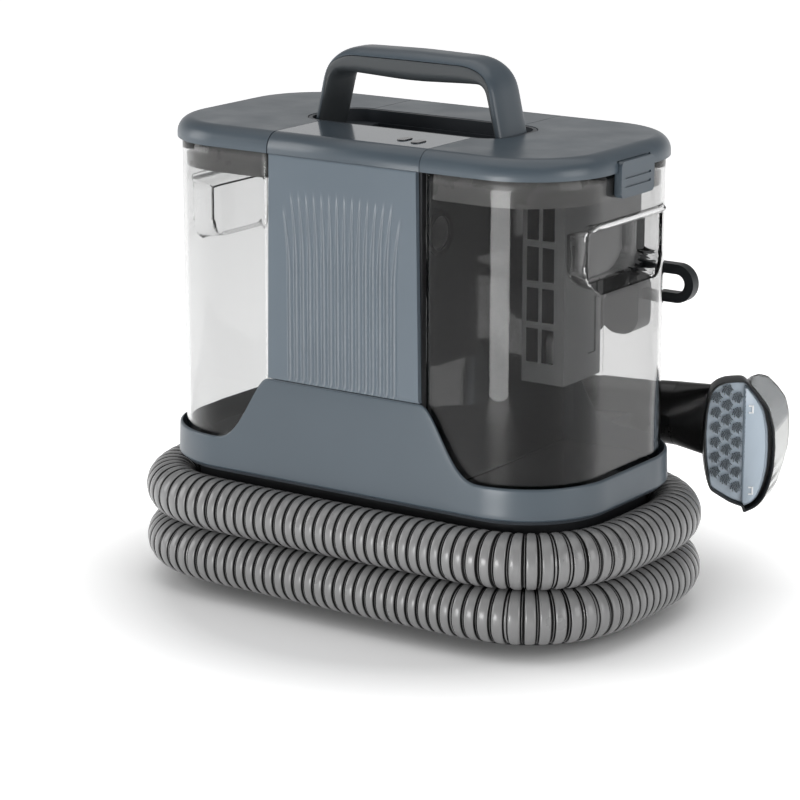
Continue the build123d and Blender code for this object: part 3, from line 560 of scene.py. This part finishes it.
def coil_turn(z):
    """Control points of one turn round the base, from the right end of the back."""
    half_x = HALF_X + HOSE_OUT
    half_y = HALF_Y + HOSE_OUT
    radius = CORNER_R + HOSE_OUT
    step = math.radians(90 / CORNER_POINTS)
    reach = radius / math.cos(step / 2)
    turn = []
    for x_sign, y_sign, start in [(1, 1, 90), (1, -1, 0), (-1, -1, -90), (-1, 1, -180)]:
        centre = (x_sign * (half_x - radius), y_sign * (half_y - radius))
        for index in range(CORNER_POINTS):
            angle = math.radians(start) - step * (index + 0.5)
            turn.append((centre[0] + reach * math.cos(angle), centre[1] + reach * math.sin(angle), z))
        turn += side_points(x_sign, y_sign, half_x, half_y, z)
    return turn


def hose_points():
    """Control points of the whole hose: elbow, low turn, climb, high turn, then up to the tool."""
    back = HALF_Y + HOSE_OUT
    start = [(HOSE_EXIT_X, back, HOSE_LOW)]
    climb = [(-84 * MM, back + 0.6 * MM, 25.5 * MM), (-38 * MM, back + 1.2 * MM, 40 * MM),
             (12 * MM, back + 1.6 * MM, 56.4 * MM), (62 * MM, back + 0.8 * MM, HOSE_HIGH)]
    lead = [tuple(Vector(p) * MM) for p in LEAD_OUT]
    end = [tuple(TOOL_TAIL - TOOL_ALONG * (CUFF + run)) for run in (24 * MM, 0)]
    return start + coil_turn(HOSE_LOW) + climb + coil_turn(HOSE_HIGH)[:-CORNER_POINTS] + lead + end


def route_curve(points):
    """The hose's centreline: a NURBS spline on the route's points, read back as a fine line."""
    data = bpy.data.curves.new("hose_route", "CURVE")
    data.dimensions = "3D"
    data.resolution_u = 12
    spline = data.splines.new("NURBS")
    spline.points.add(len(points) - 1)
    for item, point in zip(spline.points, points):
        item.co = (*point, 1)
    spline.order_u = 3
    spline.use_endpoint_u = True
    holder = bpy.data.objects.new("hose_route", data)
    bpy.context.scene.collection.objects.link(holder)
    line = bpy.data.meshes.new_from_object(holder)
    path = [v.co.copy() for v in line.vertices]
    bpy.data.objects.remove(holder)
    return path


def walk(path, places):
    """(point, direction) at given distances along a line."""
    found, travelled, index = [], 0.0, 0
    for a, b in zip(path, path[1:]):
        run = (b - a).length
        while index < len(places) and places[index] <= travelled + run:
            found.append((a.lerp(b, (places[index] - travelled) / run), (b - a).normalized()))
            index += 1
        travelled += run
    return found


# One pitch of the hose: share of the pitch, radius in mm, and whether the face after the ring is dark
HOSE_PROFILE = [(0.00, 14.4, True), (0.05, 15.2, True), (0.08, 15.7, False), (0.15, 16.05, False),
                (0.28, 16.2, False), (0.45, 16.25, False), (0.60, 16.2, False), (0.70, 16.0, False),
                (0.76, 15.6, True), (0.785, 14.8, True), (0.83, 14.4, True), (0.875, 15.1, False),
                (0.90, 15.35, False), (0.94, 15.0, True)]
HOSE_SIDES = 40


def corrugated_hose():
    """Ribbed hose along its route, light ribs with dark grooves between them."""
    path = route_curve(hose_points())
    total = sum((b - a).length for a, b in zip(path, path[1:]))
    count = round(total / HOSE_PITCH)
    pitch = total / count
    rings = [(pitch * (k + share), radius, dark)
             for k in range(count) for share, radius, dark in HOSE_PROFILE]
    rows = []
    for (point, along), (distance, radius, dark) in zip(walk(path, [ring[0] for ring in rings]), rings):
        across = along.cross(Vector((0, 0, 1))).normalized()
        up = across.cross(along)
        turns = [math.tau * k / HOSE_SIDES for k in range(HOSE_SIDES)]
        rows.append([point + (across * math.cos(a) + up * math.sin(a)) * radius * MM for a in turns])
    verts, faces = skin(rows, cap_start=True, cap_end=True)
    face_slots = [int(rings[i // HOSE_SIDES][2]) for i in range(len(faces) - 2)] + [1, 1]
    hose = piece("suction_hose", verts, faces, ["hose_grey", "hose_dark"], "base", face_slots, sharp=70)
    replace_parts(hose, "hose")


# ---- Handle ----
OUTER_LINE = [(-68.6, 278), (-57.3, 328.6), (0, 329.7), (57.3, 328.6), (68.6, 278)]
OUTER_RADII = [26, 500, 26]
INNER_LINE = [(-62.2, 278), (-52.8, 313.8), (0, 311.4), (52.8, 313.8), (62.2, 278)]
INNER_RADII = [8, 300, 8]
HANDLE_HALF = 15 * MM
HANDLE_STATIONS = 140
SECTION_POWER = 3.0
SEAM_LEG = 0.6
SEAM_BAR = 0.26
SEAM_GAP = 0.025


def rounded_line(corners, radii, count):
    """Even points along a polyline whose corners are rounded."""
    points = [Vector(c) * MM for c in corners]
    path = [points[0]]
    for before, corner, after, radius in zip(points, points[1:], points[2:], radii):
        a, b = (before - corner).normalized(), (after - corner).normalized()
        half = a.angle(b) / 2
        shortest = min((before - corner).length, (after - corner).length)
        reach = min(radius * MM / math.tan(half), 0.48 * shortest)
        start, end = corner + a * reach, corner + b * reach
        path += [start.lerp(corner, t).lerp(corner.lerp(end, t), t) for t in [k / 12 for k in range(13)]]
    path.append(points[-1])
    total = sum((b - a).length for a, b in zip(path, path[1:]))
    line, travelled, index = [], 0.0, 0
    for a, b in zip(path, path[1:]):
        run = (b - a).length
        while run and index < count and total * index / (count - 1) <= travelled + run + 1e-9:
            line.append(a.lerp(b, (total * index / (count - 1) - travelled) / run))
            index += 1
        travelled += run
    return line


def handle_section(start, end):
    """Closed loop of (depth share from the outer face, y) for the handle between two depth shares."""

    def turn(share):
        level = 1 - 2 * share
        return math.acos(math.copysign(abs(level) ** (SECTION_POWER / 2), level))

    loop = []
    first, last = turn(start), turn(end)
    for k in range(21):
        a = first + (last - first) * k / 20
        depth = 0.5 - 0.5 * math.copysign(abs(math.cos(a)) ** (2 / SECTION_POWER), math.cos(a))
        loop.append((depth, HANDLE_HALF * math.sin(a) ** (2 / SECTION_POWER) if 0 < a < math.pi else 0.0))
    return loop + [(d, -y) for d, y in reversed(loop)]


def handle():
    """Handle in two shells: the outer one and the darker lining, with a seam between them."""
    outer = rounded_line(OUTER_LINE, OUTER_RADII, HANDLE_STATIONS)
    inner = rounded_line(INNER_LINE, INNER_RADII, HANDLE_STATIONS)

    def sweep(name, cut, slot, node):
        rows = []
        for o, i in zip(outer, inner):
            rise = smooth((o.y - 298 * MM) / (28 * MM))
            seam = SEAM_LEG + (SEAM_BAR - SEAM_LEG) * rise
            rows.append([(o.lerp(i, d).x, y, o.lerp(i, d).y) for d, y in handle_section(*cut(seam))])
        filled(name, node, rows, [slot], "base", sharp=42)

    sweep("handle_outer", lambda seam: (0.002, seam), "slate_shell", "handle_shell")
    sweep("handle_lining", lambda seam: (seam + SEAM_GAP, 0.998), "grip_dark", "handle_grip")


# ---- Hand tool ----
FACE_YAW = math.radians(34.8)
FACE_AT = Vector((155, 122, 87)) * MM
FACE_U = Vector((math.cos(FACE_YAW), math.sin(FACE_YAW), 0))
FACE_W = Vector((math.sin(FACE_YAW), -math.cos(FACE_YAW), 0))
FACE_OUTLINE = [(-19.2, -30.3), (-21.6, -20), (-22.9, -10.5), (-23.6, 4), (-22.8, 19.2), (-20.4, 31.2),
                (-16.8, 35.6), (-11.5, 38.3), (-5, 39), (1.4, 39.1), (5.6, 34.2), (10.1, 28.7), (16.4, 20.5),
                (19.8, 7.9), (20.6, -4.8), (20, -17.4), (17.8, -27.6), (14.4, -36.5), (9.6, -41.7),
                (1.8, -45.2), (1.6, -41.4), (-6.4, -38.5), (-12.6, -34.6)]
FACE_PLATE = [(-18.2, -29.3), (-21.1, -10), (-21.8, 4), (-21, 18.6), (-18.8, 30.2), (-15.8, 34),
              (-11, 36.5), (1, 37.2), (8.4, 27.8), (13.4, 19.6), (16, 7.6), (16.6, -4.8), (16, -17),
              (14, -27), (11, -35.2), (7.6, -39.4), (2, -42), (1.4, -39.6), (-6, -36.8), (-11.8, -33.2)]
HOOD_FRONT = [(-3, 38.4), (1.4, 38.5), (5.4, 33.6), (9.7, 28.3), (15.8, 20.2), (19.2, 7.8), (20, -4.8),
              (19.4, -17.2), (17.3, -27.3), (14, -36.1), (9.3, -41.2), (3, -44)]
HOOD_REAR = [(1, 33), (3.3, 34.5), (5.7, 36.7), (11.2, 38.6), (16.8, 37.3), (23.1, 31), (28.2, 24),
             (30.3, 15.8), (31.1, 3.1), (30.4, -7.2), (27.7, -18.7), (24.3, -30.2), (20.2, -37.9), (14, -42)]
HOOD_WALL = 1.4
HOOD_TOP_SHARE = 0.42
HOOD_FRONT_W = -2.2
HOOD_LENGTH = 16.8
HOOD_BACK_W = -19.0
LIP_OUTLINE = [(0.8, -40.4), (0.8, 36.4), (8, 27.2), (12.6, 18.4), (14.6, 6.8), (15, -5), (14.3, -17),
               (12.5, -27), (9.8, -34.8), (6.6, -38.8)]
PLATE_W = -4.5
NECK_ALONG = 136.3
TOOL_SIDE = Vector((math.sin(TOOL_YAW), -math.cos(TOOL_YAW), 0))


def face_point(u, v, w):
    """Point in the brush face's own axes, in mm."""
    return FACE_AT + (FACE_U * u + Vector((0, 0, v)) + FACE_W * w) * MM


def rounded_ring(points, radius, spacing=1.2):
    """Closed ring along a polygon whose corners are rounded, with a point every so often."""
    ring = []
    count = len(points)
    for k in range(count):
        before, corner, after = (Vector(points[(k + j) % count]) for j in (-1, 0, 1))
        reach = min(radius, 0.45 * (before - corner).length, 0.45 * (after - corner).length)
        start = corner + (before - corner).normalized() * reach
        end = corner + (after - corner).normalized() * reach
        ring += [start.lerp(corner, t).lerp(corner.lerp(end, t), t) for t in (0, 0.25, 0.5, 0.75, 1)]
        following = Vector(points[(k + 2) % count])
        leave = min(radius, 0.45 * (after - corner).length, 0.45 * (following - after).length)
        goal = after + (corner - after).normalized() * leave
        ring += [end.lerp(goal, t) for t in steps(0, 1, spacing / max(spacing, (goal - end).length))[1:]]
    return ring


def moved_in(ring, distance):
    """Ring moved inwards by a distance along its own normals."""
    moved = []
    for k, point in enumerate(ring):
        along = ring[(k + 1) % len(ring)] - ring[k - 1]
        normal = Vector((along.y, -along.x)).normalized()
        moved.append(point + normal * distance)
    return moved


def face_rows(ring, profile):
    """Rows of points: the ring moved in and set back by each (inset, w) of a profile."""
    return [[face_point(p.x, p.y, w) for p in moved_in(ring, inset)] for inset, w in profile]


def brush_head():
    """Rim, its floor, bristle plate and smooth plate of the brush head, then its other pieces."""
    ring = rounded_ring(FACE_OUTLINE, 3.0)
    rim = [(1.5, -13.4), (0.5, -14), (0, -13.5), (0, -1.0), (0.2, -0.3), (0.6, 0), (1.1, -0.2), (1.4, -0.8),
           (1.5, -6.0), (1.5, -7.5)]
    verts, faces = skin(face_rows(ring, rim) + face_rows(ring, rim[:1]))
    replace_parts(piece("brush_rim", verts, faces, ["black_plastic"], "brush_head"), "head_frame")
    floor_rows = face_rows(ring, [(1.2, -12.6), (1.2, -10.8)])
    filled("rim_floor", "head_frame", floor_rows, ["cage_dark"], "brush_head")
    plate_profile = [(0.0, -10), (0.0, PLATE_W - 0.5), (0.5, PLATE_W)]
    plate_rows = face_rows(rounded_ring(FACE_PLATE, 2.5), plate_profile)
    filled("bristle_plate", "brush_plate", plate_rows, ["plate_blue"], "brush_head")
    lip_profile = [(0, PLATE_W - 0.3), (0, -2.6), (0.3, -1.9), (1.0, -1.5)]
    lip_rows = face_rows(rounded_ring(LIP_OUTLINE, 3.0), lip_profile)
    filled("smooth_plate", "suction_lip", lip_rows, ["plate_blue"], "brush_head")
    hood()
    neck()
    bristles()
    clips()


def even_line(points, count):
    """Points spaced evenly along an open polyline."""
    corners = [Vector(p) for p in points]
    total = sum((b - a).length for a, b in zip(corners, corners[1:]))
    places = [total * k / (count - 1) * 0.99999 for k in range(count)]
    return [point for point, along in walk(corners, places)]


def hood():
    """Clear suction hood that widens from the right half of the face to its back; its top is smoky."""
    count = 48
    front = even_line(HOOD_FRONT, count)
    rear = even_line(HOOD_REAR, count)
    middle = Vector((8, 0))
    rows = []
    for k in range(9):
        t = k / 8
        w = HOOD_FRONT_W - HOOD_LENGTH * t
        line = [f.lerp(r, t) for f, r in zip(front, rear)]
        inner = [p + (middle - p).normalized() * HOOD_WALL for p in line]
        rows.append([face_point(p.x, p.y, w) for p in line + inner[::-1]])
    verts, faces = skin(rows, cap_start=True, cap_end=True)
    width = 2 * count
    top = HOOD_TOP_SHARE * count
    smoky = [int(min(i % width, width - 1 - i % width) < top) for i in range(len(faces) - 2)] + [0, 0]
    shell = piece("clear_hood", verts, faces, ["clear_hood", "hood_smoke"], "brush_head", smoky, sharp=30)
    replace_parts(shell, "head_hood")
    back = [face_point(p.x, p.y, HOOD_BACK_W) for p in rear]
    behind = [face_point(p.x * 0.94 + 0.9, p.y * 0.95, HOOD_BACK_W - 1.6) for p in rear]
    filled("hood_back", "head_hood", [back, behind], ["clear_hood"], "brush_head", sharp=30)


def neck():
    """Black neck that flares from the tool's round end into the left of the rim."""
    rows = []
    start = TOOL_TAIL + TOOL_ALONG * NECK_ALONG * MM
    for j in range(17):
        t = j / 16
        ease = t * t * (3 - 2 * t) * 0.6 + t * 0.4
        row = []
        for k in range(48):
            a = math.tau * k / 48
            near = start + TOOL_SIDE * math.cos(a) * 17 * MM + Vector((0, 0, math.sin(a) * 20 * MM))
            u = -9.8 - 12.8 * math.copysign(abs(math.cos(a)) ** 0.7, math.cos(a))
            v = 10.5 + 23.5 * math.copysign(abs(math.sin(a)) ** 0.7, math.sin(a))
            far = face_point(u, v, -8)
            row.append(near.lerp(far, ease))
        rows.append(row)
    filled("tool_neck", "head_neck", rows, ["black_gloss"], "brush_head", sharp=50)


TUFT_PITCH = 9.4
TUFT_COLUMNS = [(-15.9, -19.4, 6), (-9.3, -24.1, 7), (-2.9, -28.8, 7)]
TUFT_R = 2.9
BRISTLES_EACH = 26
BRISTLE_TURN = 2.4
BRISTLE_SIDES = 5


def prism_faces(base, count, far_first=True):
    """Faces of a prism whose near ring starts at vertex base and whose far ring follows it."""
    faces = [(base + j, base + (j + 1) % count, base + count + (j + 1) % count, base + count + j)
             for j in range(count)]
    near, far = (tuple(start + j for j in range(count)) for start in (base, base + count))
    return faces + ([far, near] if far_first else [near, far])


def bristles():
    """Staggered tufts; each is a bunch of thin bristles that spread a little."""
    chance = random.Random(11)
    verts, faces = [], []
    for u0, v0, count in TUFT_COLUMNS:
        for row in range(count):
            for k in range(BRISTLES_EACH):
                reach = math.sqrt((k + 0.5) / BRISTLES_EACH) * TUFT_R
                a = k * BRISTLE_TURN
                du, dv = reach * math.cos(a), reach * math.sin(a)
                lean = 1.28 + chance.uniform(-0.08, 0.08)
                top = 0.6 + chance.uniform(-0.5, 0.4) - 0.25 * reach
                base = len(verts)
                for w, r, spread in ((PLATE_W - 0.2, 0.42, 1.0), (top, 0.3, lean)):
                    for j in range(BRISTLE_SIDES):
                        b = math.tau * j / BRISTLE_SIDES
                        verts.append(face_point(u0 + du * spread + r * math.cos(b),
                                                v0 + row * TUFT_PITCH + dv * spread + r * math.sin(b), w))
                faces += prism_faces(base, BRISTLE_SIDES)
    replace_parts(piece("bristle_bunches", verts, faces, ["bristle_blue"], "brush_head"), "bristle_tufts")


def clips():
    """Two small white clips on the smooth plate."""
    verts, faces = [], []
    for u, v in ((5.6, 20.5), (6.6, -31.0)):
        for (u0, u1), (v0, v1) in (((u, u + 1.2), (v - 2.6, v + 2.6)), ((u - 2, u), (v + 1.6, v + 2.6)),
                                   ((u - 2, u), (v - 2.6, v - 1.6))):
            base = len(verts)
            for w in (-1.7, -0.9):
                inset = 0.15 if w > -1.2 else 0
                verts += [face_point(u0 + inset, v0 + inset, w), face_point(u1 - inset, v0 + inset, w),
                          face_point(u1 - inset, v1 - inset, w), face_point(u0 + inset, v1 - inset, w)]
            faces += prism_faces(base, 4, far_first=False)
    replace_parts(piece("plate_clips", verts, faces, ["clip_white"], "brush_head"), "suction_lip")


# ---- Studio ----
FLOOR_HALF = 6.0
GLOW_START = 0.15
GLOW_END = 0.27
GLOW_STRENGTH = 0.7


def area_light(name, place, target, size, power):
    data = bpy.data.lights.new(name, "AREA")
    data.shape = "RECTANGLE"
    data.size, data.size_y = size
    data.energy = power
    item = bpy.data.objects.new(name, data)
    item.location = place
    aim = Vector(target) - Vector(place)
    item.rotation_euler = aim.to_track_quat("-Z", "Y").to_euler()
    item.visible_camera = False
    bpy.context.scene.collection.objects.link(item)


def studio():
    """Soft white surroundings: a bright surface below, a dim dome above, and soft boxes."""
    world = bpy.data.worlds.new("studio")
    world.use_nodes = True
    nodes, links = world.node_tree.nodes, world.node_tree.links
    place = nodes.new("ShaderNodeTexCoord")
    split = nodes.new("ShaderNodeSeparateXYZ")
    links.new(place.outputs["Generated"], split.inputs["Vector"])
    dome = ramp_node(nodes, links, split.outputs["Z"], grey(1), grey(0.3), 0.0, 0.35)
    links.new(dome.outputs["Color"], nodes["Background"].inputs["Color"])
    bpy.context.scene.world = world
    bpy.context.scene.view_settings.view_transform = "Standard"
    area_light("top", (0, 0.1, 1.5), (0, 0, 0), (1.8, 1.8), 10.5)
    area_light("left_box", (-1.05, -0.55, 0.55), (0, 0, 0.2), (0.6, 0.7), 4.5)
    area_light("right_box", (1.15, -0.10, 0.45), (0.1, 0, 0.1), (0.6, 0.6), 3.5)
    area_light("strip", (0.03, -0.64, 0.09), (0.1, -0.04, 0.09), (0.28, 0.18), 1.7)


def floor():
    """Pale floor: plain white round the object, merging into the white surroundings further off."""
    corners = [(-1, -1), (1, -1), (1, 1), (-1, 1)]
    verts = [(x * FLOOR_HALF, y * FLOOR_HALF, 0) for x, y in corners]
    mesh = bpy.data.meshes.new("floor")
    mesh.from_pydata(verts, [], [(0, 1, 2, 3)])
    material, nodes, links, shader = new_material("floor_white")
    place = nodes.new("ShaderNodeTexCoord")
    length = nodes.new("ShaderNodeVectorMath")
    length.operation = "LENGTH"
    links.new(place.outputs["Object"], length.inputs[0])
    glow = ramp_node(nodes, links, length.outputs["Value"], grey(0), grey(1), GLOW_START, GLOW_END)
    shader.inputs["Base Color"].default_value = grey(0.88)
    shader.inputs["Roughness"].default_value = 0.5
    links.new(glow.outputs["Color"], shader.inputs["Emission Color"])
    shader.inputs["Emission Strength"].default_value = GLOW_STRENGTH
    mesh.materials.append(material)
    item = bpy.data.objects.new("floor", mesh)
    bpy.context.scene.collection.objects.link(item)


camera()
dress_cad()
corrugated_hose()
base_housing()
front_face()
front_top_edge()
handle()
brush_head()
tank("clean_tank_clear", "clean_tank", -1, "clear_tank", "clean_tank")
tank("dirty_tank_smoky", "dirty_tank", 1, "smoke_tank", "dirty_tank")
studio()
floor()
